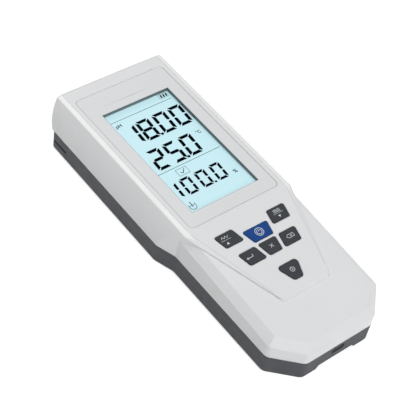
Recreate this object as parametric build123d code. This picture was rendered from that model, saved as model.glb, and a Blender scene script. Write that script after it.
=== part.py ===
from build123d import *
import os
from math import cos, radians, sin, tan

# Handheld pH meter: a pale front cover on a dark back shell, with seven keys that travel.
# Sizes are millimetres. The meter is built lying on its back: X across it, Y from the key end
# to the display end, Z up from the back. export() then centres its length on the origin.

# Housing, seen from above
waist_step = 4.0
handle_side_room = 13.5
far_rim = 3.3
waist_y = 97.9
waist_angle = 19.55
waist_radius = 5.0
nose_corner = 14.1
nose_radius = 4.8
far_radius = 2.5

# Housing heights
joint_height = 12.9
head_height = 31.1
far_overhang = 4.8
side_arc_start = 0.5
side_lean = 5.4
rim_drop = 0.5
rim_width = 2.9

# Key plateau and the handle round it
keypad_tilt = 3.9
crease_y = 85.0
plateau_step = 1.25
plateau_end_y = 28.5
plateau_radius = 3.0
plateau_lip = 1.15
handle_bevel = 4.2
head_overlap = 5.0

# Walls
cover_wall = 2.2
shell_wall = 2.4
shell_edge_radius = 1.6

# Display
window_width = 43.9
window_length = 80.1
window_near_y = 94.55
window_depth = 2.95
border_side = 7.25
border_near = 8.45
border_far = 16.05
recess_depth = 0.5
recess_radius = 3.0
overlay_thickness = 0.35
overlay_gap = 0.2
seal_thickness = 0.15
seal_width = 2.2
well_lap = 2.4
lens_thickness = 0.8
lens_lap = 2.8
panel_thickness = 2.0
panel_lap = 3.6
panel_gap = 0.2
light_thickness = 2.5
light_lap = 1.9
stack_gap = 0.05
frame_wall = 1.5
frame_floor = 1.2
strip_width = 1.6

# Boards
board_top = 20.6
board_thickness = 1.6
board_head_gap = 11.0
board_handle_gap = 10.0
board_nose_gap = 18.0
board_near_y = 8.0
board_far_gap = 3.0
board_nose_ys = (17.0, 25.0)
board_step_ys = (93.0, 97.0)

# Keys
key_travel = 0.9
key_proud = 0.45
key_gap = 0.25
key_edge = 0.4
flange_lap = 0.9
flange_thickness = 0.9
flange_gap = 0.1
stem_diameter = 4.0
side_lean_ratio = 0.225
upper_row_y = 75.75
upper_row_depth = 8.25
upper_key_width = 11.2
upper_key_x = 17.2
power_y = 71.2
power_depth = 8.1
power_widths = (16.0, 12.0)
middle_row_y = 61.3
middle_row_depth = 8.2
middle_key_width = 10.5
middle_key_x = 13.3
escape_widths = (11.2, 7.9)
set_y = 45.3
set_depth = 10.2
set_widths = (13.3, 5.6)
key_corner = 1.0
set_corner = 1.8

# Key mat
mat_thickness = 0.8
mat_edge = 1.0
mat_near_y = 31.0
mat_far_y = 80.0
dome_height = 1.4
dome_base = 6.4
dome_top = 4.4

# Fasteners
screw_diameter = 3.0
screw_head = 5.4
screw_head_height = 1.8
screw_seat_z = 3.0
boss_diameter = 6.6
small_screw_diameter = 2.2
small_screw_head = 4.0
small_screw_head_height = 1.4
post_diameter = 5.0
screw_clearance = 0.05
hole_clearance = 0.2
boss_hole_depth = 7.0
boss_screw_reach = 5.5
head_boss_inset = 6.8
head_boss_near = 8.1
head_boss_far = 14.0
handle_boss_inset = 6.2
handle_boss_y = 52.0
nose_boss_inset = 12.0
nose_boss_y = 11.0
post_hole_depth = 4.0
nose_post_inset = 4.0
nose_post_y = 12.5
handle_post_inset = 2.5
head_post_inset = 3.5
post_near_gap = 4.75
post_far_gap = 4.45

# Connectors at the display end
bay_depth = 2.6
bay_width = 54.0
bay_frame = 3.0
bay_bottom = 3.6
bay_top = 23.0
bay_radius = 3.0
bnc_x = -14.0
phono_x = 14.0
bnc_thread = 12.7
bnc_barrel = 9.66
bnc_bore = 8.1
bnc_reach = 11.6
bnc_lug = 2.0
bnc_lug_span = 11.0
bnc_lug_set_back = 5.2
bnc_lug_room = 0.2
bnc_relief = 9.2
bnc_body_width = 14.4
bnc_nut_flats = 15.8
nut_thickness = 2.2
washer_thickness = 0.6
phono_thread = 9.4
phono_barrel = 8.3
phono_bore = 3.4
phono_reach = 10.2
phono_body_width = 10.8
phono_nut_flats = 12.4
socket_body_depth = 12.6
thread_gap = 0.1

# Serial port at the key end
port_z = 9.2
port_width = 7.5
port_height = 2.6
port_depth = 5.6
port_gap = 0.45
port_board_thickness = 1.2
port_board_size = (30.0, 16.5)
port_board_post_x = 12.0
port_board_post_y = 15.5
port_screw_length = 4.0
link_width = 12.8
link_ys = (13.0, 18.0)
link_height = 8.0
link_pitch = 2.55
link_pin = 0.64
link_pin_depth = 0.6

# Notch under the key end, and the slots at the sides of the display end
notch_width = 22.8
notch_height = 3.5
notch_depth = 6.0
notch_slope = 0.6
slot_length = 14.0
slot_height = 1.5
slot_z = 6.4
slot_depth = 1.4

# Battery compartment: three AA cells side by side
cell_diameter = 14.2
cell_length = 49.2
nub_length = 1.2
nub_diameter = 5.5
cell_gap = 0.8
bay_floor_z = 2.2
compartment_roof_z = 17.3
compartment_length = 57.0
compartment_near_y = 24.0
compartment_wall = 1.4
door_thickness = 1.9
door_lap = 4.0
door_near_lap = 6.0
door_gap = 0.2
door_radius = 3.0
contact_thickness = 0.4
contact_width = 9.0
contact_below = 4.0
contact_above = 5.0
leaf_below = 4.5
leaf_lip = 3.5
door_screw_length = 4.6
door_screw_seat = 0.9
door_screw_head_height = 0.8

# Seal between cover and shell
groove_width = 1.0
groove_depth = 0.8

# Small parts on the board
buzzer_diameter = 12.0
buzzer_height = 4.2
buzzer_hole = 2.0
buzzer_place = (16.0, 150.0)
shield_size = (26.0, 18.0, 3.4)
shield_corner = (-22.0, 150.0)
shield_wall = 0.4
chip_sizes = {
    (-8.0, 122.0): (10.0, 10.0, 1.2),
    (12.0, 124.0): (5.0, 6.2, 1.3),
    (12.0, 108.0): (7.5, 5.0, 1.4),
}

# Sizes that follow from the ones above: the handle holds three cells side by side, the head is a
# step wider, and the head is as long as the display with its borders.
cell_pitch = cell_diameter + cell_gap
handle_width = 3 * cell_pitch + 2 * handle_side_room
head_width = handle_width + 2 * waist_step
window_y = window_near_y + window_length / 2
window_far_y = window_near_y + window_length
recess_width = window_width + 2 * border_side
recess_length = border_near + window_length + border_far
recess_y = window_near_y - border_near + recess_length / 2
joint_length = window_far_y + border_far + far_rim
bay_y = joint_length - bay_depth
board_head_width = head_width - 2 * board_head_gap
board_handle_width = handle_width - 2 * board_handle_gap
board_nose_width = handle_width - 2 * board_nose_gap
board_far_y = bay_y - board_far_gap
mat_width = board_handle_width - 2 * mat_edge
taper = tan(radians(waist_angle))
tilt_slope = tan(radians(keypad_tilt))
half_head = head_width / 2
half_handle = handle_width / 2
waist_near_y = waist_y - (half_head - half_handle) / taper
board_bottom = board_top - board_thickness
overall_length = bay_y + bnc_reach
tall = 60.0


def polygon(points, radius=0.0, rounded=None):
    """Flat face through the points. Its corners that rounded() picks get the radius."""
    face = make_face(Polyline(*points, close=True))
    if radius:
        corners = face.vertices().filter_by(rounded) if rounded else face.vertices()
        face = fillet(corners, radius)
    return face


def slab(face, low, high):
    return Pos(0, 0, low) * extrude(face, high - low, dir=(0, 0, 1))


def block(x_span, y_span, z_span):
    size = [b - a for a, b in (x_span, y_span, z_span)]
    centre = [(a + b) / 2 for a, b in (x_span, y_span, z_span)]
    return Pos(*centre) * Box(*size)


def rod(x, y, diameter, low, high):
    return Pos(x, y, (low + high) / 2) * Cylinder(diameter / 2, high - low)


def rod_y(x, z, diameter, near, far):
    return Pos(x, (near + far) / 2, z) * Rot(90, 0, 0) * Cylinder(diameter / 2, far - near)


def rounded_rect(width, length, radius, y):
    return Pos(0, y) * RectangleRounded(width, length, radius)


def keypad_plane(drop):
    """The tilted plane of the key plateau, lowered by drop."""
    tilt = radians(keypad_tilt)
    return Plane(origin=(0, crease_y, head_height - drop), x_dir=(1, 0, 0),
                 z_dir=(0, -sin(tilt), cos(tilt)))


def below(solid, plane):
    return split(solid, bisect_by=plane, keep=Keep.BOTTOM)


def plateau_z(y):
    return head_height - (crease_y - y) * tilt_slope


def plateau_half(y):
    return half_head - (waist_y - y) * taper


def plane_through(a, b, c):
    """Plane through three points, with its normal upwards."""
    normal = (Vector(*b) - Vector(*a)).cross(Vector(*c) - Vector(*a)).normalized()
    if normal.Z < 0:
        normal = normal * -1
    return Plane(origin=a, z_dir=normal)


# Housing forms
def joint_outline(inset=0.0):
    """Outline where the cover meets the shell."""
    right = [
        (half_handle - nose_corner, 0.0),
        (half_handle, nose_corner),
        (half_handle, waist_near_y),
        (half_head, waist_y),
        (half_head, joint_length),
    ]
    left = [(-x, y) for x, y in reversed(right)]
    face = polygon(right + left)
    face = fillet(face.vertices().filter_by(lambda v: v.Y < nose_corner + 1), nose_radius)
    waist = face.vertices().filter_by(lambda v: nose_corner * 2 < v.Y < waist_y + 1)
    face = fillet(waist, waist_radius)
    face = fillet(face.vertices().filter_by(lambda v: v.Y > joint_length - 1), far_radius)
    if inset:
        face = offset(face, -inset, kind=Kind.INTERSECTION)
    return face


def handle_corners():
    """Right half of the handle's outline, from the nose to inside the head."""
    return [
        (half_handle - nose_corner, 0.0),
        (half_handle, nose_corner),
        (half_handle, waist_y - head_overlap),
    ]


def handle_z(y):
    return plateau_z(y) - plateau_step


def bevel_plane(start, end):
    """The broad bevel over the wall that runs from start to end."""
    along = Vector(end[0] - start[0], end[1] - start[1]).normalized()
    inward = Vector(-along.Y, along.X) * handle_bevel
    near, far = [(x + inward.X, y + inward.Y) for x, y in (start, end)]
    mid = [(a + b) / 2 for a, b in zip(start, end)]
    return plane_through((*near, handle_z(near[1])), (*far, handle_z(far[1])),
                         (*mid, handle_z(mid[1]) - handle_bevel))


def handle_form(inset=0.0):
    """The lower handle round the keys, with its broad bevel."""
    right = handle_corners()
    left = [(-x, y) for x, y in reversed(right)]
    face = polygon(right + left, nose_radius, lambda v: v.Y < nose_corner + 1)
    if inset:
        face = offset(face, -inset, kind=Kind.INTERSECTION)
    body = below(slab(face, joint_height, tall), keypad_plane(plateau_step).offset(-inset))
    for start, end in zip(left + right, (left + right)[1:]):
        body = below(body, bevel_plane(start, end).offset(-inset))
    return body


def head_profile(inset=0.0):
    """Cross-section of the head: sides that curve inwards and a flat top with a sloping rim."""
    edge_x = half_head - side_lean
    edge_z = head_height - rim_drop
    arc_z = joint_height + side_arc_start
    inner_x = edge_x - rim_width
    right = Line((half_head, 0), (half_head, arc_z)) + TangentArc(
        (half_head, arc_z), (edge_x, edge_z), tangent=(0, 1)
    ) + Line((edge_x, edge_z), (inner_x, head_height))
    ring = right + mirror(right, Plane.YZ) + Line((-inner_x, head_height), (inner_x, head_height))
    ring += Line((-half_head, 0), (half_head, 0))
    face = make_face(Plane.XZ * ring)
    return offset(face, -inset, kind=Kind.INTERSECTION) if inset else face


def head_form(inset=0.0):
    """The display head and the key plateau that runs down from it between the handle's sides."""
    far_top_y = joint_length + far_overhang
    prism = extrude(head_profile(inset), -(far_top_y + 5), dir=(0, -1, 0))
    near_x = plateau_half(plateau_end_y)
    right = [(near_x, plateau_end_y), (half_head, waist_y), (half_head, far_top_y + 5)]
    left = [(-x, y) for x, y in reversed(right)]
    plan = polygon(right + left, plateau_radius, lambda v: v.Y < plateau_end_y + 1)
    if inset:
        plan = offset(plan, -inset, kind=Kind.INTERSECTION)
    body = prism & slab(plan, joint_height, tall)
    for plane in (keypad_plane(0), far_plane(), lip_plane(), rim_plane(-1), rim_plane(1)):
        body = below(body, plane.offset(-inset))
    return body


def far_plane():
    """The display end's face, which leans outwards towards the top."""
    rise = head_height - joint_height
    normal = Vector(0, rise, -far_overhang).normalized()
    return Plane(origin=(0, joint_length, joint_height), z_dir=normal)


def lip_plane():
    """The bevelled end of the key plateau."""
    top_y = plateau_end_y + plateau_lip
    return plane_through((-1, top_y, plateau_z(top_y)), (1, top_y, plateau_z(top_y)),
                         (0, plateau_end_y, plateau_z(top_y) - plateau_lip))


def rim_plane(side):
    """The shallow slope along one side of the key plateau."""
    inner_x = half_head - side_lean - rim_width
    near_y = plateau_end_y + plateau_radius + 1.5
    far_y = crease_y - 1.0
    mid_y = (near_y + far_y) / 2
    near = (side * (plateau_half(near_y) - rim_drop), near_y, plateau_z(near_y))
    far = (side * inner_x, far_y, plateau_z(far_y))
    outer = (side * plateau_half(mid_y), mid_y, plateau_z(mid_y) - rim_drop)
    return plane_through(near, far, outer)


def cover_form(inset=0.0):
    return head_form(inset) + handle_form(inset)


# Keys
def side_key(side, centre_x, width, far_y, depth):
    """A key beside the middle: both its sides lean towards the middle at the near end."""
    shift = depth * side_lean_ratio
    far_x = (centre_x - width / 2, centre_x + width / 2)
    points = [(far_x[0], far_y), (far_x[1], far_y), (far_x[1] - shift, far_y - depth),
              (far_x[0] - shift, far_y - depth)]
    return polygon([(side * x, y) for x, y in points], key_corner)


def middle_key(widths, far_y, depth, corner=key_corner):
    far_x, near_x = widths[0] / 2, widths[1] / 2
    points = [(-far_x, far_y), (far_x, far_y), (near_x, far_y - depth), (-near_x, far_y - depth)]
    return polygon(points, corner)


key_faces = {
    "key_up": side_key(-1, upper_key_x, upper_key_width, upper_row_y, upper_row_depth),
    "key_down": side_key(1, upper_key_x, upper_key_width, upper_row_y, upper_row_depth),
    "key_power": middle_key(power_widths, power_y, power_depth),
    "key_enter": side_key(-1, middle_key_x, middle_key_width, middle_row_y, middle_row_depth),
    "key_escape": middle_key(escape_widths, middle_row_y, middle_row_depth),
    "key_delete": side_key(1, middle_key_x, middle_key_width, middle_row_y, middle_row_depth),
    "key_set": middle_key(set_widths, set_y, set_depth, set_corner),
}


def key(face):
    """One key: a sloping cap, a flange that holds it under the cover, and a stem."""
    centre = face.center()
    underside = cover_wall + flange_gap
    cap = below(slab(face, board_top, tall), keypad_plane(-key_proud))
    cap = fillet(cap.faces().sort_by(Axis.Z)[-1].edges(), key_edge)
    wide = slab(offset(face, flange_lap), board_top, tall)
    flange = below(wide, keypad_plane(underside))
    body = split(cap + flange, bisect_by=keypad_plane(underside + flange_thickness), keep=Keep.TOP)
    stem_z = dome_z() + key_travel + flange_gap
    return body + rod(centre.X, centre.Y, stem_diameter, stem_z, plateau_z(centre.Y) - underside)


def dome_z():
    return board_top + mat_thickness + dome_height


def keypad_mat():
    """Silicone mat on the board, with a dome under each key's stem."""
    mid_y = (mat_near_y + mat_far_y) / 2
    mat = slab(rounded_rect(mat_width, mat_far_y - mat_near_y, 2.0, mid_y), board_top,
               board_top + mat_thickness)
    for face in key_faces.values():
        centre = face.center()
        dome = Cone(dome_base / 2, dome_top / 2, dome_height)
        mat += Pos(centre.X, centre.Y, dome_z() - dome_height / 2) * dome
    return mat


# Front cover
def boss_places():
    head_x = half_head - head_boss_inset
    places = [(head_x, waist_y + head_boss_near), (head_x, joint_length - head_boss_far),
              (half_handle - handle_boss_inset, handle_boss_y), (half_handle - nose_boss_inset, nose_boss_y)]
    return [(side * x, y) for side in (-1, 1) for x, y in places]


def post_places():
    frame_reach = window_length / 2 + panel_lap + panel_gap + frame_wall
    places = [(board_nose_width / 2 - nose_post_inset, nose_post_y),
              (board_handle_width / 2 - handle_post_inset, window_y - frame_reach - post_near_gap),
              (board_head_width / 2 - head_post_inset, window_y + frame_reach + post_far_gap)]
    return [(side * x, y) for side in (-1, 1) for x, y in places]


def window_face(grow=0.0):
    return Pos(0, window_y) * Rectangle(window_width + 2 * grow, window_length + 2 * grow)


def front_cover():
    cavity = cover_form(cover_wall)
    outer = cover_form()
    inside = cover_form(cover_wall / 2)
    cover = outer - cavity
    well_floor = head_height - window_depth
    cover += slab(window_face(seal_width + well_lap), well_floor, head_height - cover_wall)
    for x, y in boss_places():
        cover += rod(x, y, boss_diameter, joint_height, tall) & inside
    for x, y in post_places():
        cover += rod(x, y, post_diameter, board_top, tall) & inside
    half_bay = bay_width / 2 + bay_frame
    pad = block((-half_bay, half_bay), (bay_y - shell_wall, joint_length),
                (joint_height, bay_top + bay_frame))
    cover += pad & outer
    for x, y in boss_places():
        cover -= rod(x, y, screw_diameter + 2 * screw_clearance, joint_height,
                     joint_height + boss_hole_depth)
    for x, y in post_places():
        cover -= rod(x, y, small_screw_diameter + 2 * screw_clearance, board_top,
                     board_top + min(post_hole_depth, post_room(y)))
    cover -= connector_bay()
    cover -= slab(window_face(), 0, tall)
    cover -= slab(rounded_rect(recess_width, recess_length, recess_radius, recess_y),
                  head_height - recess_depth, tall)
    for face in key_faces.values():
        cover -= slab(offset(face, key_gap), board_top, tall)
    return cover


def post_room(y):
    """Depth of material over a board post, less a skin."""
    return min(head_height, plateau_z(y) - plateau_step) - board_top - 1.2


def connector_bay():
    """Recess in the display end with a hole for each socket."""
    mid_z = (bay_bottom + bay_top) / 2
    face = Plane.XZ * (Pos(0, mid_z) * RectangleRounded(bay_width, bay_top - bay_bottom, bay_radius))
    bay = Pos(0, bay_y, 0) * extrude(face, -20, dir=(0, -1, 0))
    holes = rod_y(bnc_x, joint_height, bnc_thread + 2 * thread_gap, bay_y - 6, bay_y + 1)
    holes += rod_y(phono_x, joint_height, phono_thread + 2 * thread_gap, bay_y - 6, bay_y + 1)
    return bay + holes


# Back shell
def compartment_width():
    return 3 * cell_pitch + 1.4


def compartment_mid_y():
    return compartment_near_y + compartment_length / 2


def door_face(gap=0.0):
    width = compartment_width() + 2 * door_lap - 2 * gap
    length = compartment_length + door_near_lap + door_lap - 2 * gap
    return rounded_rect(width, length, door_radius, door_mid_y())


def door_mid_y():
    return compartment_mid_y() + (door_lap - door_near_lap) / 2


def door_screw_places():
    near_y = compartment_near_y - door_near_lap / 2 - 0.2
    return [(side * (compartment_width() / 2 - 3), near_y) for side in (-1, 1)]


def back_shell():
    shell = slab(joint_outline(), 0, joint_height)
    shell = fillet(shell.faces().sort_by(Axis.Z)[0].edges(), shell_edge_radius)
    shell -= slab(joint_outline(shell_wall), shell_wall, tall)
    inside = slab(joint_outline(shell_wall / 2), 0, joint_height)
    half_bay = bay_width / 2 + bay_frame
    shell += block((-half_bay, half_bay), (bay_y - shell_wall, joint_length - 1),
                   (shell_wall / 2, joint_height))
    half_box = compartment_width() / 2 + compartment_wall
    far_y = compartment_near_y + compartment_length + compartment_wall
    shell += block((-half_box, half_box), (compartment_near_y - compartment_wall, far_y),
                   (shell_wall / 2, compartment_roof_z + compartment_wall))
    shell += slab(offset(door_face(), 1.6), 0.8, shell_wall + door_thickness - 0.5) & inside
    for x, y in boss_places():
        shell += rod(x, y, boss_diameter + 0.6, shell_wall / 2, joint_height)
    for x, y in door_screw_places():
        shell += rod(x, y, post_diameter, shell_wall, shell_wall + 5)
    half_notch = notch_width / 2 + notch_height * notch_slope
    shell += block((-half_notch - 1.5, half_notch + 1.5), (1.5, notch_depth + 1.5),
                   (shell_wall / 2, notch_height + 1.5))
    for x in (-port_board_post_x, port_board_post_x):
        shell += rod(x, port_board_post_y, post_diameter, shell_wall / 2, port_board_bottom())
    return shell - shell_cuts()


def port_board_bottom():
    return port_z - port_height / 2 - port_board_thickness


def shell_cuts():
    half_width = compartment_width() / 2
    cuts = block((-half_width, half_width),
                 (compartment_near_y, compartment_near_y + compartment_length),
                 (-1, compartment_roof_z))
    cuts += slab(door_face(), -1, door_thickness)
    for x, y in boss_places():
        cuts += rod(x, y, screw_head + 2 * hole_clearance, -1, screw_seat_z)
        cuts += rod(x, y, screw_diameter + 2 * hole_clearance, 0, tall)
    for x, y in door_screw_places():
        cuts += rod(x, y, small_screw_diameter + 2 * screw_clearance, 0, shell_wall + 4)
    for x in (-port_board_post_x, port_board_post_x):
        cuts += rod(x, port_board_post_y, small_screw_diameter + 2 * screw_clearance,
                    shell_wall, tall)
    cuts += connector_bay()
    notch = [(-notch_width / 2, notch_height), (notch_width / 2, notch_height),
             (notch_width / 2 + notch_height * notch_slope, 0),
             (notch_width / 2 + notch_height * notch_slope, -1),
             (-notch_width / 2 - notch_height * notch_slope, -1),
             (-notch_width / 2 - notch_height * notch_slope, 0)]
    cuts += extrude(Plane.XZ * polygon(notch), -notch_depth, dir=(0, -1, 0))
    mouth = Plane.XZ * (Pos(0, port_z) * RectangleRounded(
        port_width + 2 * port_gap, port_height + 2 * port_gap, 1.0))
    cuts += extrude(mouth, -shell_wall - 1, dir=(0, -1, 0))
    for side in (-1, 1):
        edge = sorted((side * (half_head - slot_depth), side * (half_head + 1)))
        cuts += block(edge, (joint_length - slot_length, joint_length + 1),
                      (slot_z - slot_height / 2, slot_z + slot_height / 2))
    cuts += slab(gasket_face(), joint_height - groove_depth, tall)
    return cuts


def gasket_face():
    """Ring along the middle of the shell's rim, open where the sockets pass."""
    middle = shell_wall / 2
    ring = joint_outline(middle - groove_width / 2) - joint_outline(middle + groove_width / 2)
    return ring - Pos(0, joint_length) * Rectangle(bay_width + 8, 12)


def housing_gasket():
    return slab(gasket_face(), joint_height - groove_depth, joint_height)


# Display stack
def stack_levels():
    """Heights of the display layers, from the well's floor down."""
    lens_top = head_height - window_depth - seal_thickness
    panel_top = lens_top - lens_thickness - stack_gap
    light_top = panel_top - panel_thickness - stack_gap
    return lens_top, panel_top, light_top


def display_overlay():
    face = rounded_rect(recess_width - 2 * overlay_gap, recess_length - 2 * overlay_gap,
                        recess_radius - overlay_gap, recess_y) - window_face()
    low = head_height - recess_depth
    return slab(face, low, low + overlay_thickness)


def window_seal():
    top = head_height - window_depth
    return slab(window_face(seal_width) - window_face(0.4), top - seal_thickness, top)


def display_window():
    lens_top = stack_levels()[0]
    lens = slab(window_face(lens_lap), lens_top - lens_thickness, lens_top)
    return chamfer(lens.edges().filter_by(Axis.Z), 0.8)


def lcd_panel():
    """Two glass plates, the lower one longer, where its contacts lie."""
    panel_top = stack_levels()[1]
    upper = slab(Pos(0, window_y) * Rectangle(panel_width(), window_length + 2 * light_lap),
                 panel_top - panel_thickness / 2, panel_top)
    lower = slab(Pos(0, window_y) * Rectangle(panel_width(), panel_length()),
                 panel_top - panel_thickness, panel_top - panel_thickness / 2)
    return upper + lower


def panel_width():
    return window_width + 2 * panel_lap


def panel_length():
    return window_length + 2 * panel_lap


def lcd_backlight():
    light_top = stack_levels()[2]
    return slab(window_face(light_lap - 0.1), light_top - light_thickness, light_top)


def strip_y(side):
    return window_y + side * (panel_length() / 2 - strip_width / 2 - stack_gap)


def lcd_frame():
    """Tray that carries the backlight and the panel on the board."""
    light_top = stack_levels()[2]
    floor_top = light_top - light_thickness - stack_gap
    rim_top = head_height - window_depth - stack_gap
    room = 2 * panel_gap
    wide = Pos(0, window_y) * Rectangle(panel_width() + 2 * frame_wall + room,
                                        panel_length() + 2 * frame_wall + room)
    tray = slab(wide, board_top, rim_top)
    pocket = Pos(0, window_y) * Rectangle(panel_width() + room, panel_length() + room)
    tray -= slab(pocket, light_top + stack_gap / 2, tall)
    tray -= slab(window_face(light_lap + 1.0), floor_top, tall)
    tray -= slab(window_face(light_lap - 1.5), board_top - 1, floor_top - frame_floor)
    for side in (-1, 1):
        slot = Pos(0, strip_y(side)) * Rectangle(strip_length() + room, strip_width + room / 2)
        tray -= slab(slot, board_top - 1, tall)
    for x in (-10.0, 10.0):
        for y in (window_y - 20.0, window_y + 20.0):
            tray -= rod(x, y, 12.0, board_top - 1, floor_top + 1)
    return tray


def strip_length():
    return window_width


def lcd_contact_strips():
    """Conducting rubber strips from the board to the panel's contact ledges."""
    top = stack_levels()[1] - panel_thickness
    half = strip_length() / 2
    strips = [block((-half, half), (strip_y(side) - strip_width / 2, strip_y(side) + strip_width / 2),
                    (board_top, top)) for side in (-1, 1)]
    return strips[0] + strips[1]


# Boards and what they carry
def main_board():
    right = [
        (board_nose_width / 2, board_near_y),
        (board_nose_width / 2, board_nose_ys[0]),
        (board_handle_width / 2, board_nose_ys[1]),
        (board_handle_width / 2, board_step_ys[0]),
        (board_head_width / 2, board_step_ys[1]),
        (board_head_width / 2, board_far_y),
    ]
    left = [(-x, y) for x, y in reversed(right)]
    board = slab(polygon(right + left, 1.5), board_bottom, board_top)
    for x, y in post_places():
        board -= rod(x, y, small_screw_diameter + 2 * hole_clearance, board_bottom - 1, tall)
    return board


def screw(diameter, head, head_height_, length):
    """Pan head screw, its head below the origin and its shank above."""
    body = Pos(0, 0, -head_height_ / 2) * Cylinder(head / 2, head_height_)
    body = fillet(body.edges().sort_by(Axis.Z)[0], head_height_ * 0.35)
    slot = head * 0.6
    depth = head_height_ * 0.5
    for turn in (0, 90):
        body -= Pos(0, 0, -head_height_) * Rot(0, 0, turn) * Box(slot, slot / 5, 2 * depth)
    body += Pos(0, 0, length / 2) * Cylinder(diameter / 2, length)
    return chamfer(body.edges().sort_by(Axis.Z)[-1], diameter * 0.18)


def group(parts):
    return Compound(children=[part.solid() for part in parts])


def housing_screws():
    length = joint_height + boss_screw_reach - screw_seat_z
    one = screw(screw_diameter, screw_head, screw_head_height, length)
    return group([Pos(x, y, screw_seat_z) * one for x, y in boss_places()])


def board_screws():
    screws = []
    for x, y in post_places():
        length = board_thickness + min(post_hole_depth, post_room(y)) - 2 * hole_clearance
        one = screw(small_screw_diameter, small_screw_head, small_screw_head_height, length)
        screws.append(Pos(x, y, board_bottom) * one)
    return group(screws)


def buzzer():
    top = board_bottom
    body = rod(*buzzer_place, buzzer_diameter, top - buzzer_height, top)
    body = fillet(body.edges().sort_by(Axis.Z)[0], 0.6)
    return body - rod(*buzzer_place, buzzer_hole, top - buzzer_height - 1, top - buzzer_height + 1)


def shield_can():
    width, length, height = shield_size
    left, near = shield_corner
    can = block((left, left + width), (near, near + length), (board_bottom - height, board_bottom))
    can = fillet(can.edges().filter_by(Axis.Z), 2 * shield_wall)
    return can - block((left + shield_wall, left + width - shield_wall),
                       (near + shield_wall, near + length - shield_wall),
                       (board_bottom - height + shield_wall, board_bottom + 1))


def circuit_chips():
    chips = []
    for (x, y), (width, length, height) in chip_sizes.items():
        chips.append(block((x - width / 2, x + width / 2), (y - length / 2, y + length / 2),
                           (board_bottom - height, board_bottom)))
    return group(chips)


# Sockets at the display end
def bnc_socket():
    """Bayonet socket: body under the board, threaded neck, barrel with two lugs."""
    body_top = board_bottom
    half = body_top - joint_height
    inner_y = bay_y - shell_wall
    tip_y = bay_y + bnc_reach
    barrel_y = bay_y + washer_thickness + nut_thickness + 0.8
    sock = block((bnc_x - bnc_body_width / 2, bnc_x + bnc_body_width / 2),
                 (inner_y - socket_body_depth, inner_y),
                 (joint_height - half, body_top))
    sock += rod_y(bnc_x, joint_height, bnc_thread, inner_y - 0.5, barrel_y)
    sock += rod_y(bnc_x, joint_height, bnc_barrel, barrel_y - 1, tip_y)
    lug_y = tip_y - bnc_lug_set_back
    relief = bnc_lug / 2 + bnc_lug_room
    sock -= (rod_y(bnc_x, joint_height, bnc_barrel + 1, lug_y - relief, lug_y + relief)
             - rod_y(bnc_x, joint_height, bnc_relief, lug_y - relief, lug_y + relief))
    sock += Pos(bnc_x, lug_y, joint_height) * Cylinder(bnc_lug / 2, bnc_lug_span)
    sock -= rod_y(bnc_x, joint_height, bnc_bore, barrel_y, tip_y + 1)
    sock += rod_y(bnc_x, joint_height, 4.6, barrel_y - 1, tip_y - 1.2)
    sock -= rod_y(bnc_x, joint_height, 1.6, barrel_y, tip_y + 1)
    return chamfer(sock.edges().filter_by(GeomType.CIRCLE).filter_by(
        lambda e: abs(e.radius - bnc_barrel / 2) < 0.01).sort_by(Axis.Y)[-1], 0.4)


def ring_nut(x, flats, bore, near_y, thickness):
    face = Plane.XZ * (Pos(x, joint_height) * (RegularPolygon(flats / 2, 6, major_radius=False)
                                              - Circle(bore / 2 + thread_gap / 2)))
    nut = Pos(0, near_y, 0) * extrude(face, -thickness, dir=(0, -1, 0))
    return nut


def bnc_nut():
    return ring_nut(bnc_x, bnc_nut_flats, bnc_thread, bay_y + washer_thickness, nut_thickness)


def washer(x, outer, bore):
    return (rod_y(x, joint_height, outer, bay_y, bay_y + washer_thickness)
            - rod_y(x, joint_height, bore + thread_gap, bay_y - 1, bay_y + 2))


def phono_socket():
    """Temperature probe socket: body under the board, threaded neck and plain barrel."""
    half = board_bottom - joint_height
    inner_y = bay_y - shell_wall
    tip_y = bay_y + phono_reach
    neck_y = bay_y + washer_thickness + nut_thickness + 0.6
    sock = block((phono_x - phono_body_width / 2, phono_x + phono_body_width / 2),
                 (inner_y - socket_body_depth, inner_y),
                 (joint_height - half, board_bottom))
    sock += rod_y(phono_x, joint_height, phono_thread, inner_y - 0.5, neck_y)
    sock += rod_y(phono_x, joint_height, phono_barrel, neck_y - 1, tip_y)
    sock -= rod_y(phono_x, joint_height, phono_bore, bay_y - 2, tip_y + 1)
    return chamfer(sock.edges().filter_by(GeomType.CIRCLE).filter_by(
        lambda e: abs(e.radius - phono_barrel / 2) < 0.01).sort_by(Axis.Y)[-1], 0.4)


# Serial port
def usb_board():
    width, length = port_board_size
    low = port_board_bottom()
    near_y = shell_wall + 0.3
    board = block((-width / 2, width / 2), (near_y, near_y + length), (low, low + port_board_thickness))
    for x in (-port_board_post_x, port_board_post_x):
        board -= rod(x, port_board_post_y, small_screw_diameter + 2 * hole_clearance, 0, tall)
    return board


def usb_port():
    """Metal shell of the serial port, with its tongue."""
    near_y = shell_wall - 1.6
    outer = Plane.XZ * (Pos(0, port_z) * RectangleRounded(port_width, port_height, 0.7))
    inner = Plane.XZ * (Pos(0, port_z) * RectangleRounded(port_width - 0.7, port_height - 0.7, 0.4))
    port = Pos(0, near_y, 0) * extrude(outer, -port_depth, dir=(0, -1, 0))
    port -= Pos(0, near_y, 0) * extrude(inner, -port_depth + 1.0, dir=(0, -1, 0))
    return port + block((-2.6, 2.6), (near_y + 0.6, near_y + port_depth), (port_z - 0.3, port_z + 0.3))


def usb_board_screws():
    one = screw(small_screw_diameter, small_screw_head, small_screw_head_height, port_screw_length)
    top = port_board_bottom() + port_board_thickness
    return group([Pos(x, port_board_post_y, top) * Rot(180, 0, 0) * one
                  for x in (-port_board_post_x, port_board_post_x)])


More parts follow.
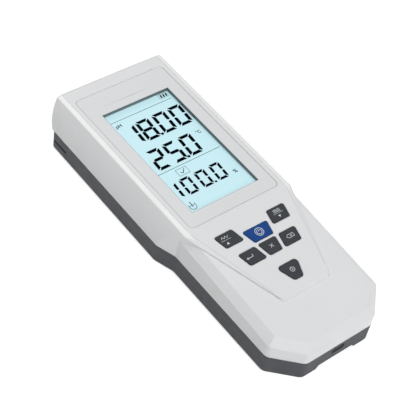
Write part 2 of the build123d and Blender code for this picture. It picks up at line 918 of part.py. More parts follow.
def board_link():
    """Tall header that joins the serial port's board to the main board."""
    low = port_board_bottom() + port_board_thickness
    link = block((-link_width / 2, link_width / 2), link_ys, (low, low + link_height))
    mid_y = sum(link_ys) / 2
    for x in [i * link_pitch for i in range(-2, 3)]:
        link += block((x - link_pin / 2, x + link_pin / 2),
                      (mid_y - link_pin_depth / 2, mid_y + link_pin_depth / 2),
                      (low + link_height - 1, board_bottom))
    return link


# Battery
def cell_places():
    return [(i - 1) * cell_pitch for i in range(3)]


def cell_z():
    return bay_floor_z + cell_diameter / 2


def cell_ends(turned):
    """Near and far ends of a cell's can, with the nub towards the end with the plate."""
    gap = compartment_length - cell_length - nub_length - contact_thickness
    near = compartment_near_y + (contact_thickness + nub_length if turned else gap)
    return near, near + cell_length


def battery_cells():
    cells = []
    for i, x in enumerate(cell_places()):
        near, far = cell_ends(i == 1)
        cell = rod_y(x, cell_z(), cell_diameter, near, far)
        cell = fillet(cell.edges().filter_by(GeomType.CIRCLE), 0.8)
        tip = (near - nub_length, near + 1) if i == 1 else (far - 1, far + nub_length)
        cells.append(cell + rod_y(x, cell_z(), nub_diameter, *tip))
    return group(cells)


def battery_contacts():
    """Plates at the nubs and bent leaf springs at the flat ends, one pair to each cell."""
    contacts = []
    far_y = compartment_near_y + compartment_length
    for i, x in enumerate(cell_places()):
        turned = i == 1
        half = contact_width / 2
        plate_wall = compartment_near_y if turned else far_y
        leaf_wall = far_y if turned else compartment_near_y
        inward = 1 if turned else -1
        plate_y = sorted((plate_wall, plate_wall + inward * contact_thickness))
        contacts.append(block((x - half, x + half), plate_y,
                              (cell_z() - contact_below, cell_z() + contact_above)))
        contacts.append(leaf_spring(x, leaf_wall, -inward, cell_ends(turned)))
    return group(contacts)


def leaf_spring(x, wall_y, inward, ends):
    """Leaf bent from a strip: its foot on the wall, its crown against the cell."""
    crown = (ends[0] if inward > 0 else ends[1]) - inward * contact_thickness
    z = cell_z()
    foot = wall_y + inward * contact_thickness / 2
    crown_y = crown + inward * (contact_thickness / 2 - 0.15)
    path = Polyline((x, foot, z + contact_above), (x, foot, z - leaf_below), (x, crown_y, z),
                    (x, foot + inward, z + leaf_lip))
    profile = Plane(origin=path @ 0, z_dir=(0, 0, -1)) * Rectangle(contact_width, contact_thickness)
    return sweep(profile, path, transition=Transition.RIGHT)


def battery_door():
    door = slab(door_face(door_gap), 0, door_thickness - 0.1)
    door = chamfer(door.faces().sort_by(Axis.Z)[0].edges(), 0.4)
    for x, y in door_screw_places():
        door -= rod(x, y, small_screw_head + 2 * hole_clearance, -1, door_screw_seat)
        door -= rod(x, y, small_screw_diameter + 2 * hole_clearance, -1, tall)
    for i in range(5):
        y = door_mid_y() + compartment_length / 2 - 8 - 2.4 * i
        door -= block((-12, 12), (y - 0.5, y + 0.5), (-1, 0.5))
    return door


def battery_door_screws():
    one = screw(small_screw_diameter, small_screw_head, door_screw_head_height, door_screw_length)
    return group([Pos(x, y, door_screw_seat) * one for x, y in door_screw_places()])


def export(name, solid):
    solid = Pos(0, -overall_length / 2, 0) * solid
    export_step(solid, f"parts/{name}.step")


nodes = {
    "front_cover": front_cover,
    "back_shell": back_shell,
    "housing_gasket": housing_gasket,
    "display_overlay": display_overlay,
    "window_seal": window_seal,
    "display_window": display_window,
    "lcd_panel": lcd_panel,
    "lcd_backlight": lcd_backlight,
    "lcd_frame": lcd_frame,
    "lcd_contact_strips": lcd_contact_strips,
    "main_board": main_board,
    "board_screws": board_screws,
    "keypad_mat": keypad_mat,
    "housing_screws": housing_screws,
    "buzzer": buzzer,
    "shield_can": shield_can,
    "circuit_chips": circuit_chips,
    "bnc_socket": bnc_socket,
    "bnc_nut": bnc_nut,
    "bnc_washer": lambda: washer(bnc_x, bnc_nut_flats + 1.4, bnc_thread),
    "phono_socket": phono_socket,
    "phono_nut": lambda: ring_nut(phono_x, phono_nut_flats, phono_thread,
                                  bay_y + washer_thickness, nut_thickness),
    "phono_washer": lambda: washer(phono_x, phono_nut_flats + 1.2, phono_thread),
    "usb_board": usb_board,
    "usb_port": usb_port,
    "usb_board_screws": usb_board_screws,
    "board_link": board_link,
    "battery_cells": battery_cells,
    "battery_contacts": battery_contacts,
    "battery_door": battery_door,
    "battery_door_screws": battery_door_screws,
}

os.makedirs("parts", exist_ok=True)
for name, make in nodes.items():
    export(name, make())
for name, face in key_faces.items():
    export(name, key(face))
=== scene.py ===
from math import cos, radians, sin, tan

import bmesh
import bpy
from mathutils import Matrix, Vector


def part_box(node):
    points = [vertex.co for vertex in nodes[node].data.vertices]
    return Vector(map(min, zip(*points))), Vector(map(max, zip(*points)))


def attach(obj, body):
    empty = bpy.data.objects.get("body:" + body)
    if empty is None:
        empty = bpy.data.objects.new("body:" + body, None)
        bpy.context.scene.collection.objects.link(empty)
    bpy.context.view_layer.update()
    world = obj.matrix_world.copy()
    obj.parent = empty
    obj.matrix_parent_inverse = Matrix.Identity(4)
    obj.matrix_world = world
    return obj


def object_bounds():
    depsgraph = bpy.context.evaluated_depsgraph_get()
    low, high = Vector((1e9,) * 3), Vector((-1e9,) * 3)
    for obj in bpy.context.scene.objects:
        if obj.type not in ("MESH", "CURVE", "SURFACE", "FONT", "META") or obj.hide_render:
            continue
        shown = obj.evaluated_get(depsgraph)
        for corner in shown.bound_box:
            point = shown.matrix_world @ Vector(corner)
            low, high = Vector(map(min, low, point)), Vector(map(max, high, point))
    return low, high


# Looks of the handheld pH meter. Sizes are millimetres in the meter's own layout: X across it,
# Y from the key end to the display end, Z up from its back. put() turns them into the frame's metres.

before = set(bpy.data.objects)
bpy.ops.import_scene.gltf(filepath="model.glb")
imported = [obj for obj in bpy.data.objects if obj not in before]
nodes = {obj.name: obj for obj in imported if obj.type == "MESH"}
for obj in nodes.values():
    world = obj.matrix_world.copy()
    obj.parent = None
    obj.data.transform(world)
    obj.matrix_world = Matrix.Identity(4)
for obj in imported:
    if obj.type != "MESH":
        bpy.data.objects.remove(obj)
cad_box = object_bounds()


def millimetres(metres):
    return round(metres * 1000, 3)


middle_y = millimetres(cad_box[1][1])
head_top = millimetres(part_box("front_cover")[1][2])
overlay_top = millimetres(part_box("display_overlay")[1][2])
panel_top = millimetres(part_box("lcd_panel")[1][2])

# The lens reaches this far past the edge of its window on each side.
lens_lap = 2.8
lens_low, lens_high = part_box("display_window")
window_half = millimetres(lens_high[0]) - lens_lap
window_near_y = millimetres(lens_low[1]) + middle_y + lens_lap
window_far_y = millimetres(lens_high[1]) + middle_y - lens_lap

# The cover's flat top ends at rim_x on each side. The key field falls from the crease to the key end,
# and the keys stand key_height out of it.
rim_x = 31.75
rim_depth = 0.7
crease_y = 85.0
keypad_tilt = radians(3.9)
keypad_slope = tan(keypad_tilt)
key_height = 0.45
key_rise = key_height / cos(keypad_tilt)

# Height of printed marks and of painted shade lines above what they lie on, and their thickness
print_and_shade_lift = 0.005
print_and_shade_thickness = 0.02
legend_lift = 0.01
legend_thickness = 0.03
unit_lift = 0.03


# Places
def put(x, y, z):
    """Point in the frame's metres, from a place in the meter's layout."""
    return Vector((x, y - middle_y, z)) / 1000.0


def on_panel(x, y, lift):
    return put(x, y, panel_top + lift)


def on_overlay(x, y, lift):
    return put(x, y, overlay_top + lift)


def on_top(x, y, lift):
    return put(x, y, head_top + lift)


def on_plateau(x, y, lift):
    return put(x, y, head_top - (crease_y - y) * keypad_slope + lift)


def on_key(x, y, lift):
    return on_plateau(x, y, key_rise + lift)


# Materials
def colour(code):
    """Linear light of a colour that is written as it looks."""
    parts = [int(code[i:i + 2], 16) / 255 for i in (0, 2, 4)]
    return tuple(p / 12.92 if p <= 0.04045 else ((p + 0.055) / 1.055) ** 2.4 for p in parts) + (1.0,)


def maths(tree, operation, first, second=None):
    """Math node on an output, and on a number or another output where the operation takes two."""
    node = tree.nodes.new("ShaderNodeMath")
    node.operation = operation
    tree.links.new(first, node.inputs[0])
    if isinstance(second, float):
        node.inputs[1].default_value = second
    elif second is not None:
        tree.links.new(second, node.inputs[1])
    return node.outputs[0]


class Finish:
    """A node material with one Principled shader and helpers that add detail to it."""

    def __init__(self, name, code, roughness=0.5, metallic=0.0, **sockets):
        self.material = bpy.data.materials.new(name)
        self.material.use_nodes = True
        self.tree = self.material.node_tree
        self.shader = self.tree.nodes["Principled BSDF"]
        self.base = colour(code)
        self.set("Base Color", self.base)
        self.set("Roughness", roughness)
        self.set("Metallic", metallic)
        for socket, value in sockets.items():
            self.set(socket.replace("_", " "), value)
        self.place = self.tree.nodes.new("ShaderNodeTexCoord").outputs["Object"]

    def set(self, socket, value):
        self.shader.inputs[socket].default_value = value

    def join(self, output, target):
        self.tree.links.new(output, target)

    def noise(self, size, detail=3.0, stretch=None):
        """Noise with features of about this size in millimetres."""
        noise = self.tree.nodes.new("ShaderNodeTexNoise")
        noise.inputs["Scale"].default_value = 1000.0 / size
        noise.inputs["Detail"].default_value = detail
        place = self.place
        if stretch:
            mapping = self.tree.nodes.new("ShaderNodeMapping")
            mapping.inputs["Scale"].default_value = stretch
            self.join(place, mapping.inputs["Vector"])
            place = mapping.outputs["Vector"]
        self.join(place, noise.inputs["Vector"])
        return noise.outputs["Fac"]

    def ranged(self, factor, low, high, from_low=0.3, from_high=0.7):
        span = self.tree.nodes.new("ShaderNodeMapRange")
        span.inputs["From Min"].default_value = from_low
        span.inputs["From Max"].default_value = from_high
        span.inputs["To Min"].default_value = low
        span.inputs["To Max"].default_value = high
        self.join(factor, span.inputs["Value"])
        return span.outputs["Result"]

    def mottle(self, size, amount):
        """Slow change of shade, darker and lighter than the base by this share."""
        blend = self.tree.nodes.new("ShaderNodeMix")
        blend.data_type = "RGBA"
        blend.inputs["A"].default_value = tuple(c * (1 - amount) for c in self.base[:3]) + (1.0,)
        blend.inputs["B"].default_value = tuple(min(1, c * (1 + amount)) for c in self.base[:3]) + (1.0,)
        self.join(self.ranged(self.noise(size), 0, 1), blend.inputs["Factor"])
        self.join(blend.outputs["Result"], self.shader.inputs["Base Color"])
        return self

    def painted_highlight_band(self, code, half_width, height):
        """Painted highlight: another colour outside this half width and above this height, in millimetres,
        standing in for light on the slopes there.
        """
        axes = self.tree.nodes.new("ShaderNodeSeparateXYZ")
        self.join(self.place, axes.inputs[0])
        across = maths(self.tree, "ABSOLUTE", axes.outputs["X"])
        outside = maths(self.tree, "GREATER_THAN", across, half_width / 1000.0)
        above = maths(self.tree, "GREATER_THAN", axes.outputs["Z"], height / 1000.0)
        blend = self.tree.nodes.new("ShaderNodeMix")
        blend.data_type = "RGBA"
        self.join(self.shader.inputs["Base Color"].links[0].from_socket, blend.inputs["A"])
        blend.inputs["B"].default_value = colour(code)
        self.join(maths(self.tree, "MULTIPLY", outside, above), blend.inputs["Factor"])
        self.join(blend.outputs["Result"], self.shader.inputs["Base Color"])
        return self

    def gloss(self, size, low, high):
        """Roughness that wanders between these two levels."""
        self.join(self.ranged(self.noise(size), low, high), self.shader.inputs["Roughness"])
        return self

    def grain(self, size, depth, edge=0.0, detail=3.0, stretch=None):
        """Fine relief of this depth in millimetres. edge rounds the look of sharp edges."""
        bump = self.tree.nodes.new("ShaderNodeBump")
        bump.inputs["Strength"].default_value = 1.0
        bump.inputs["Distance"].default_value = depth / 1000.0
        self.join(self.noise(size, detail, stretch), bump.inputs["Height"])
        if edge:
            bevel = self.tree.nodes.new("ShaderNodeBevel")
            bevel.samples = 6
            bevel.inputs["Radius"].default_value = edge / 1000.0
            self.join(bevel.outputs["Normal"], bump.inputs["Normal"])
        self.join(bump.outputs["Normal"], self.shader.inputs["Normal"])
        return self


cover_white = Finish("cover_white", "E6E7E8", 0.42)
cover_white.mottle(30, 0.012).gloss(6, 0.36, 0.46).grain(0.5, 0.006, 0.9)
# Painted highlight: the slopes along the cover's top edges get a lighter white, standing in for the light
# they catch.
cover_white.painted_highlight_band("F4F4F4", rim_x, head_top - rim_depth)
overlay_white = Finish("overlay_white", "E2E4E5", 0.40)
overlay_white.mottle(25, 0.01).gloss(4, 0.36, 0.44).grain(0.35, 0.004, 0.1)
shell_grey = Finish("shell_grey", "4E5155", 0.6, Specular_IOR_Level=0.3)
shell_grey.mottle(12, 0.05).gloss(3, 0.54, 0.66).grain(0.45, 0.02, 0.4)
door_grey = Finish("door_grey", "4F5256", 0.6, Specular_IOR_Level=0.3)
door_grey.mottle(10, 0.05).gloss(3, 0.54, 0.66).grain(0.45, 0.02, 0.3)
key_grey = Finish("key_grey", "3F4247", 0.6, Specular_IOR_Level=0.2)
key_grey.mottle(4, 0.04).gloss(2, 0.55, 0.66).grain(0.3, 0.008, 0.25)
key_blue = Finish("key_blue", "18458A", 0.6, Specular_IOR_Level=0.2)
key_blue.mottle(4, 0.04).gloss(2, 0.52, 0.62).grain(0.3, 0.008, 0.25)

# Painted shade: dark grey-green for the window well's walls, standing in for the shade in the well.
painted_well_shade = Finish("painted_well_shade", "5F6E70", 0.6).mottle(5, 0.05).gloss(2, 0.5, 0.65).grain(0.3, 0.006)
white_ink = Finish("white_ink", "D9DCDE", 0.6).mottle(0.8, 0.05).gloss(0.5, 0.5, 0.7).grain(0.1, 0.004)
grey_ink = Finish("grey_ink", "B2B6B8", 0.6).mottle(0.8, 0.06).gloss(0.5, 0.5, 0.7).grain(0.1, 0.004)
# Painted shade: light grey for lines that stand in for the shade in the creases along the top's sides.
painted_crease_shade = Finish("painted_crease_shade", "D0D2D3", 0.6).mottle(2, 0.05).gloss(1, 0.5, 0.7).grain(0.1, 0.003)
segment_ink = Finish("segment_ink", "020A10", 0.8, Specular_IOR_Level=0.0)
segment_ink.mottle(3, 0.1).gloss(2, 0.75, 0.85).grain(0.2, 0.002)
fine_ink = Finish("fine_ink", "0C1E26", 0.8, Specular_IOR_Level=0.0)
fine_ink.mottle(2, 0.08).gloss(2, 0.75, 0.85).grain(0.2, 0.002)

rubber_black = Finish("rubber_black", "1C1D1F", 0.75).mottle(3, 0.1).gloss(1, 0.7, 0.82).grain(0.2, 0.01)
mat_grey = Finish("mat_grey", "8A8D90", 0.7).mottle(5, 0.05).gloss(1, 0.62, 0.75).grain(0.3, 0.01)
tray_white = Finish("tray_white", "DADAD4", 0.5).mottle(6, 0.03).gloss(2, 0.45, 0.55).grain(0.4, 0.006)
light_guide = Finish("light_guide", "DDF2F6", 0.3).mottle(8, 0.02).gloss(2, 0.25, 0.35).grain(0.6, 0.01)
board_green = Finish("board_green", "1E5A33", 0.35).mottle(1.6, 0.2).gloss(1, 0.3, 0.42).grain(0.8, 0.02)
chip_black = Finish("chip_black", "222324", 0.6).mottle(0.8, 0.1).gloss(0.5, 0.5, 0.65).grain(0.15, 0.01)
screw_steel = Finish("screw_steel", "9B9C9E", 0.35, 1.0)
screw_steel.mottle(1.5, 0.1).gloss(0.8, 0.28, 0.45).grain(0.4, 0.01, 0.1)
tinned_steel = Finish("tinned_steel", "B4B4B0", 0.3, 1.0)
tinned_steel.mottle(2, 0.06).gloss(0.8, 0.25, 0.4).grain(0.5, 0.006, 0.05)
nickel = Finish("nickel", "B9B5AC", 0.22, 1.0)
nickel.mottle(2, 0.05).gloss(0.6, 0.16, 0.3).grain(0.5, 0.004, 0.1, detail=2.0, stretch=(1, 0.1, 1))
cell_sleeve = Finish("cell_sleeve", "3F4A58", 0.3).mottle(3, 0.05).gloss(2, 0.25, 0.35).grain(0.6, 0.006)

lens = Finish("lens_clear", "202628", 0.06, Alpha=0.012, IOR=1.49, Specular_IOR_Level=0.05)
lens.gloss(10, 0.04, 0.08)
lcd_glow = Finish("lcd_glow", "6E8388", 0.35, Emission_Color=colour("CFF3FB"), Emission_Strength=0.73)
lcd_glow.mottle(40, 0.02).gloss(5, 0.3, 0.4)

looks = {
    cover_white: ["front_cover"],
    overlay_white: ["display_overlay"],
    shell_grey: ["back_shell"],
    door_grey: ["battery_door"],
    key_grey: ["key_up", "key_down", "key_enter", "key_escape", "key_delete", "key_set"],
    key_blue: ["key_power"],
    rubber_black: ["housing_gasket", "window_seal", "lcd_contact_strips"],
    mat_grey: ["keypad_mat"],
    lens: ["display_window"],
    lcd_glow: ["lcd_panel"],
    light_guide: ["lcd_backlight"],
    tray_white: ["lcd_frame"],
    board_green: ["main_board", "usb_board"],
    chip_black: ["circuit_chips", "buzzer", "board_link"],
    screw_steel: ["board_screws", "housing_screws", "usb_board_screws", "battery_door_screws"],
    tinned_steel: ["shield_can", "usb_port", "battery_contacts"],
    nickel: ["bnc_socket", "bnc_nut", "bnc_washer", "phono_socket", "phono_nut", "phono_washer"],
    cell_sleeve: ["battery_cells"],
}
for finish, names in looks.items():
    for name in names:
        nodes[name].data.materials.clear()
        nodes[name].data.materials.append(finish.material)


# Pieces
def mesh_data(name, mesh):
    """Blender's mesh from a bmesh, with its faces turned outward."""
    bmesh.ops.recalc_face_normals(mesh, faces=mesh.faces)
    data = bpy.data.meshes.new(name)
    mesh.to_mesh(data)
    mesh.free()
    return data


def add_piece(data, finish, body="meter"):
    """Object of this mesh, with the mesh's name and a finish, on a body."""
    data.materials.clear()
    data.materials.append(finish.material)
    piece = bpy.data.objects.new(data.name, data)
    bpy.context.scene.collection.objects.link(piece)
    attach(piece, body)


def plates(name, shapes, place, finish, body="meter", lift=print_and_shade_lift, thickness=print_and_shade_thickness):
    """One piece made of flat shapes, each a list of (x, y), raised by lift and given a thickness."""
    mesh = bmesh.new()
    for shape in shapes:
        low = [mesh.verts.new(place(x, y, lift)) for x, y in shape]
        high = [mesh.verts.new(place(x, y, lift + thickness)) for x, y in shape]
        mesh.faces.new(list(reversed(low)))
        mesh.faces.new(high)
        for i in range(len(shape)):
            j = (i + 1) % len(shape)
            mesh.faces.new((low[i], low[j], high[j], high[i]))
    add_piece(mesh_data(name, mesh), finish, body)


# Flat shapes
def stroke(points, width, closed=False):
    """Quads that follow a run of points, mitred at its corners."""
    count = len(points)
    sides = []
    for i, point in enumerate(points):
        before = points[i - 1] if i or closed else point
        after = points[(i + 1) % count] if i < count - 1 or closed else point
        first = (Vector(point) - Vector(before)).normalized() if before != point else None
        second = (Vector(after) - Vector(point)).normalized() if after != point else None
        first = first or second
        second = second or first
        along = (first + second).normalized()
        normal = Vector((-along.y, along.x))
        reach = width / 2 / max(0.4, along.dot(first))
        sides.append((Vector(point) + normal * reach, Vector(point) - normal * reach))
    quads = []
    for i in range(count if closed else count - 1):
        a, b = sides[i], sides[(i + 1) % count]
        quads.append([tuple(a[0]), tuple(a[1]), tuple(b[1]), tuple(b[0])])
    return quads


def line(start, end, width):
    return stroke([start, end], width)


def arc(radius, start, end, count=24):
    """Points round (0, 0), from one angle to the other in degrees."""
    angles = [radians(start + (end - start) * i / count) for i in range(count + 1)]
    return [(radius * cos(a), radius * sin(a)) for a in angles]


def circle(radius, count=32):
    return arc(radius, 0, 360 * (count - 1) / count, count - 1)


def cross(reach, width):
    return line((-reach, -reach), (reach, reach), width) + line((-reach, reach), (reach, -reach), width)


def moved(shapes, x, y):
    return [[(x + px, y + py) for px, py in shape] for shape in shapes]


# Display
segments_of = {
    "0": "abcdef", "1": "bc", "2": "abged", "5": "afgcd", "8": "abcdefg",
}


def digit(mark, x, y, width, height, thick, slant=0.06, gap=0.22):
    """Seven-segment digit whose box starts at (x, y)."""
    half = height / 2
    room = gap / 2
    nip = thick * 0.3 + room
    inner = thick + room
    bar = [(nip, 0), (width - nip, 0), (width - inner, thick), (inner, thick)]
    mid = [(thick * 0.5 + room, half), (inner, half - thick / 2), (width - inner, half - thick / 2),
           (width - thick * 0.5 - room, half), (width - inner, half + thick / 2), (inner, half + thick / 2)]
    side = [(0, nip), (thick, inner), (thick, half - thick * 0.42 - room),
            (thick * 0.5, half - thick * 0.1 - room), (0, half - thick * 0.25 - room)]
    far_side = [(width - px, py) for px, py in side]
    shapes = {
        "a": [(px, height - py) for px, py in bar],
        "g": mid,
        "d": bar,
        "e": side,
        "c": far_side,
        "f": [(px, height - py) for px, py in side],
        "b": [(px, height - py) for px, py in far_side],
    }
    return [[(x + px + py * slant, y + py) for px, py in shapes[s]] for s in segments_of[mark]]


def row(marks, y, height, thick, point_x, point_size):
    """Digits in a row, each given as (mark, left edge, width), and the row's decimal point."""
    shapes = []
    for mark, x, width in marks:
        shapes += digit(mark, x, y, width, height, thick)
    half = point_size / 2
    point = [(-half, 0), (half, 0), (half, point_size), (-half, point_size)]
    return shapes + moved([point], point_x, y)


# Marks on the display are placed as they look at the height of the head's top. The panel lies
# deeper, so seen() moves them along the line of sight, away from the eye.
seen_shift_x = 2.6
seen_shift_y = 2.44


def seen(shapes):
    return moved(shapes, seen_shift_x, seen_shift_y)


top_row = (("1", -19.2, 6.6), ("8", -11.4, 8.6), ("0", -0.4, 8.6), ("0", 10.2, 8.6))
middle_row = (("2", -19.4, 8.4), ("5", -8.8, 8.4), ("0", 1.7, 8.4))
bottom_row = (("1", -24.0, 5.6), ("0", -15.9, 6.8), ("0", -6.1, 6.8), ("0", 3.8, 6.8))
digits = row(top_row, y=146.8, height=15.0, thick=2.0, point_x=-1.8, point_size=1.6)
digits += row(middle_row, y=126.2, height=14.8, thick=2.0, point_x=0.4, point_size=1.6)
digits += row(bottom_row, y=104.6, height=11.6, thick=1.6, point_x=1.8, point_size=1.3)
plates("lcd_digits", seen(digits), on_panel, segment_ink)

rule_half = 21.6
rules = []
for rule_y in (169.9, 126.6):
    rules += line((-rule_half, rule_y), (rule_half, rule_y), 0.28)
plates("lcd_rules", rules, on_panel, fine_ink)


def battery_icon():
    """Slanted frame with three slanted bars in it."""
    frame_line = stroke([(0, 0), (6.0, 0), (6.5, 3.4), (0.5, 3.4)], 0.16, True)
    bar = [(1.0, 0.6), (2.0, 0.6), (2.4, 2.8), (1.4, 2.8)]
    bars = []
    for i in range(3):
        bars += moved([bar], i * 1.7, 0)
    return frame_line + bars


def tick_icon():
    """Box with a tick in it."""
    box = stroke([(0, 0), (6.6, 0), (6.6, 4.6), (0, 4.6)], 0.2, True)
    return box + stroke([(1.7, 2.4), (2.9, 1.2), (5.1, 3.7)], 0.4)


def beaker_icon():
    """Round-bottomed glass with a level in it and a rod that dips below the level."""
    bottom = stroke(arc(1.9, 200, 340, 10), 0.3)
    sides = line((-1.8, -0.7), (-2.0, 2.0), 0.3) + line((1.8, -0.7), (2.0, 2.0), 0.3)
    return bottom + sides + line((-1.9, 1.0), (1.9, 1.0), 0.25) + line((0, -0.2), (0, 3.6), 0.45)


icons = (moved(battery_icon(), 12.9, 169.4) + moved(tick_icon(), -12.3, 117.8)
         + moved(beaker_icon(), -19.2, 97.6))
plates("lcd_icons", seen(icons), on_panel, fine_ink)


def unit_mark(name, text, x, y, size, boldness=0.07):
    """Unit on the display, in Blender's own font."""
    curve = bpy.data.curves.new(name + "_curve", "FONT")
    curve.body = text
    curve.size = size
    curve.resolution_u = 3
    curve.offset = boldness
    holder = bpy.data.objects.new(name + "_holder", curve)
    bpy.context.scene.collection.objects.link(holder)
    bpy.context.view_layer.update()
    data = bpy.data.meshes.new_from_object(holder.evaluated_get(bpy.context.evaluated_depsgraph_get()))
    bpy.data.objects.remove(holder)
    for vert in data.vertices:
        vert.co = on_panel(x + seen_shift_x + vert.co.x, y + seen_shift_y + vert.co.y, unit_lift)
    data.name = name
    add_piece(data, fine_ink)


unit_mark("lcd_unit_ph", "pH", -21.0, 163.0, size=3.2)
unit_mark("lcd_unit_celsius", "°C", 14.2, 137.9, size=3.0)
unit_mark("lcd_unit_percent", "%", 14.2, 104.8, size=3.4)


def window_well_shade(wall=0.12, clearance=0.01, low=28.75, top_gap=0.16):
    """Painted shade of the window well: a thin dark frame that stands inside the window's four walls, in
    place of the shade that falls on them.
    """
    outer = (window_half - clearance, window_near_y + clearance, window_far_y - clearance)
    inner = (outer[0] - wall, outer[1] + wall, outer[2] - wall)
    high = head_top - top_gap
    mesh = bmesh.new()

    def ring(size, z):
        half, near, far = size
        corners = ((-half, near), (half, near), (half, far), (-half, far))
        return [mesh.verts.new(put(x, y, z)) for x, y in corners]

    rings = [ring(outer, low), ring(outer, high), ring(inner, high), ring(inner, low)]
    for k in range(4):
        a, b = rings[k], rings[(k + 1) % 4]
        for i in range(4):
            j = (i + 1) % 4
            mesh.faces.new((a[i], a[j], b[j], b[i]))
    add_piece(mesh_data("window_well_shade", mesh), painted_well_shade)


window_well_shade()


# Lines on the cover
def label_line(half_length=17.2, half_height=0.14, y=179.8):
    """Thin line that tapers to both ends, on the overlay past the window."""
    shape = [(-half_length, y), (0, y - half_height), (half_length, y), (0, y + half_height)]
    plates("label_line", [shape], on_overlay, grey_ink)


def mirrored_lines(start, end, width):
    """The same line on the right and left of the cover."""
    quads = []
    for side in (-1, 1):
        quads += line((side * start[0], start[1]), (side * end[0], end[1]), width)
    return quads


label_line()
# Painted shade: fine grey lines where the flat top and the key field turn into the slopes along their
# sides, standing in for the shade in those creases
rim_shade_lines = mirrored_lines((rim_x, crease_y + 1.5), (rim_x, 197.6), 0.28)
plates("rim_shade_lines", rim_shade_lines, on_top, painted_crease_shade)
plateau_shade_lines = mirrored_lines((31.6, crease_y - 1.5), (16.9, 34.5), 0.24)
plates("plateau_shade_lines", plateau_shade_lines, on_plateau, painted_crease_shade)

# Key legends: plain symbols, each drawn round (0, 0) and then moved to its key
triangle = [(-0.85, -0.6), (0.85, -0.6), (0.0, 0.75)]
key_rule = line((-3.0, 0), (3.0, 0), 0.16)


def up_symbol():
    """Zigzag over a rule, with a small triangle below."""
    zigzag = [(-2.2, 1.0), (-1.3, 2.2), (-0.4, 1.0), (0.5, 2.2), (1.4, 1.0), (2.3, 2.2)]
    return moved([triangle], -0.4, -2.1) + key_rule + stroke(zigzag, 0.24)


def down_symbol():
    """Three lines over a rule, with a small triangle upside down below."""
    flipped = [(x, -y) for x, y in triangle]
    lines = []
    for y in (0.9, 1.6, 2.3):
        lines += line((-2.2, y), (2.2, y), 0.24)
    return moved([flipped], -0.4, -1.9) + key_rule + lines


def power_symbol():
    """Ring round an open arc, with a bar in the arc's gap."""
    ring = stroke(circle(2.35), 0.32, True)
    return ring + stroke(arc(1.45, 125, 415), 0.36) + line((0, 0.1), (0, 1.7), 0.36)


def enter_symbol():
    """Bent arrow that points left."""
    head = [(-2.3, -0.3), (-1.2, -1.0), (-1.2, 0.4)]
    return stroke([(2.0, 1.0), (2.0, -0.3), (-1.4, -0.3)], 0.3) + [head]


def delete_symbol():
    """Box with a point at its left end and a small cross in it."""
    box = [(-2.3, 0), (-1.2, 1.0), (2.2, 1.0), (2.2, -1.0), (-1.2, -1.0)]
    return stroke(box, 0.26, True) + moved(cross(0.5, 0.24), 0.5, 0)


def set_symbol():
    """Small ring round a dot."""
    return stroke(circle(1.25, 24), 0.3, True) + [circle(0.4, 12)]


arrow_keys_y = 71.6
small_keys_y = 57.2
legends = {
    "up": (-18.1, arrow_keys_y, up_symbol()),
    "down": (16.3, arrow_keys_y, down_symbol()),
    "power": (0, 67.2, power_symbol()),
    "enter": (-14.2, small_keys_y, enter_symbol()),
    "escape": (0, small_keys_y, cross(0.9, 0.3)),
    "delete": (12.4, small_keys_y, delete_symbol()),
    "set": (0, 40.6, set_symbol()),
}
for key, (x, y, symbol) in legends.items():
    plates("legend_" + key, moved(symbol, x, y), on_key, white_ink, body="key_" + key,
           lift=legend_lift, thickness=legend_thickness)


# Floor and light
def floor(half_size=3.0, depth=0.0002, grey=0.78, glow_strength=0.62):
    """Pale floor just below the meter, in metres. It takes the meter's shadow, and its glow shows
    only to the eye, in reflections and through glass."""
    sides = (-half_size, half_size)
    data = bpy.data.meshes.new("floor")
    data.from_pydata([(x, y, -depth) for y in sides for x in sides], [], [(0, 1, 3, 2)])
    material = bpy.data.materials.new("floor_white")
    material.use_nodes = True
    tree = material.node_tree
    tree.nodes.clear()
    out = tree.nodes.new("ShaderNodeOutputMaterial")
    diffuse = tree.nodes.new("ShaderNodeBsdfDiffuse")
    diffuse.inputs["Color"].default_value = (grey, grey, grey, 1)
    glow = tree.nodes.new("ShaderNodeEmission")
    rays = tree.nodes.new("ShaderNodeLightPath").outputs
    seen_directly = maths(tree, "MAXIMUM", rays["Is Camera Ray"], rays["Is Glossy Ray"])
    seen_at_all = maths(tree, "MAXIMUM", seen_directly, rays["Is Transmission Ray"])
    tree.links.new(maths(tree, "MULTIPLY", seen_at_all, glow_strength), glow.inputs["Strength"])
    add = tree.nodes.new("ShaderNodeAddShader")
    tree.links.new(diffuse.outputs[0], add.inputs[0])
    tree.links.new(glow.outputs[0], add.inputs[1])
    tree.links.new(add.outputs[0], out.inputs["Surface"])
    data.materials.append(material)
    obj = bpy.data.objects.new("floor", data)
    bpy.context.scene.collection.objects.link(obj)


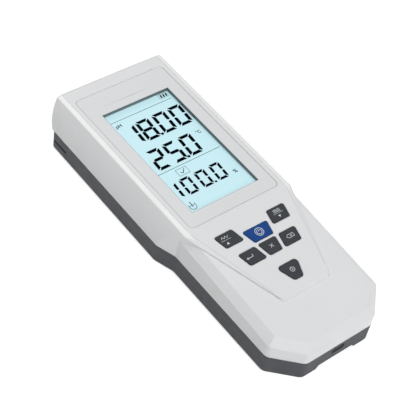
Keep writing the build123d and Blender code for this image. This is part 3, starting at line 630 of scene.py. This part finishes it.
def studio_world(light=0.37, backdrop=1.0):
    """White all round: this bright as light on the meter, and this bright to the eye."""
    world = bpy.data.worlds.new("studio")
    bpy.context.scene.world = world
    world.use_nodes = True
    tree = world.node_tree
    background = tree.nodes["Background"]
    background.inputs["Color"].default_value = (1, 1, 1, 1)
    path = tree.nodes.new("ShaderNodeLightPath")
    level = tree.nodes.new("ShaderNodeMapRange")
    level.inputs["To Min"].default_value = light
    level.inputs["To Max"].default_value = backdrop
    tree.links.new(path.outputs["Is Camera Ray"], level.inputs["Value"])
    tree.links.new(level.outputs["Result"], background.inputs["Strength"])


def lamp(name, place, size, watts, target=(0, 0, 0.015)):
    """Round soft lamp that points at the middle of the meter, in metres."""
    light = bpy.data.lights.new(name, "AREA")
    light.shape = "DISK"
    light.size = size
    light.energy = watts
    obj = bpy.data.objects.new(name, light)
    obj.location = place
    obj.rotation_euler = (Vector(target) - Vector(place)).to_track_quat("-Z", "Y").to_euler()
    bpy.context.scene.collection.objects.link(obj)


floor()
studio_world()
lamp("key_light", (-0.3, -2.0, 2.0), size=1.3, watts=38.0)
lamp("top_light", (0.1, 0.7, 1.1), size=0.7, watts=4.4)

# Camera, solved from the housing's corners in the photo. Places are metres in the frame.
azimuth = radians(46.8311)
elevation = radians(48.1523)
roll = radians(11.7336)
distance = 0.6705
target = Vector((0.00709, 0.00879, 0.0))
sensor_width = 36.0
photo_width = 420
focal_length_in_pixels = 1238.3


def add_camera():
    back = Vector((-sin(azimuth) * cos(elevation), -cos(azimuth) * cos(elevation), sin(elevation)))
    right = (-back).cross(Vector((0, 0, 1))).normalized()
    above = right.cross(-back)
    side = cos(roll) * right + sin(roll) * above
    top = -sin(roll) * right + cos(roll) * above
    data = bpy.data.cameras.new("camera")
    data.sensor_width = sensor_width
    data.lens = sensor_width * focal_length_in_pixels / photo_width
    data.clip_start = 0.01
    data.clip_end = 20.0
    camera = bpy.data.objects.new("camera", data)
    place = target + back * distance
    camera.matrix_world = Matrix.Translation(place) @ Matrix((side, top, back)).transposed().to_4x4()
    bpy.context.scene.collection.objects.link(camera)
    bpy.context.scene.camera = camera


add_camera()
bpy.context.scene.view_settings.view_transform = "Standard"
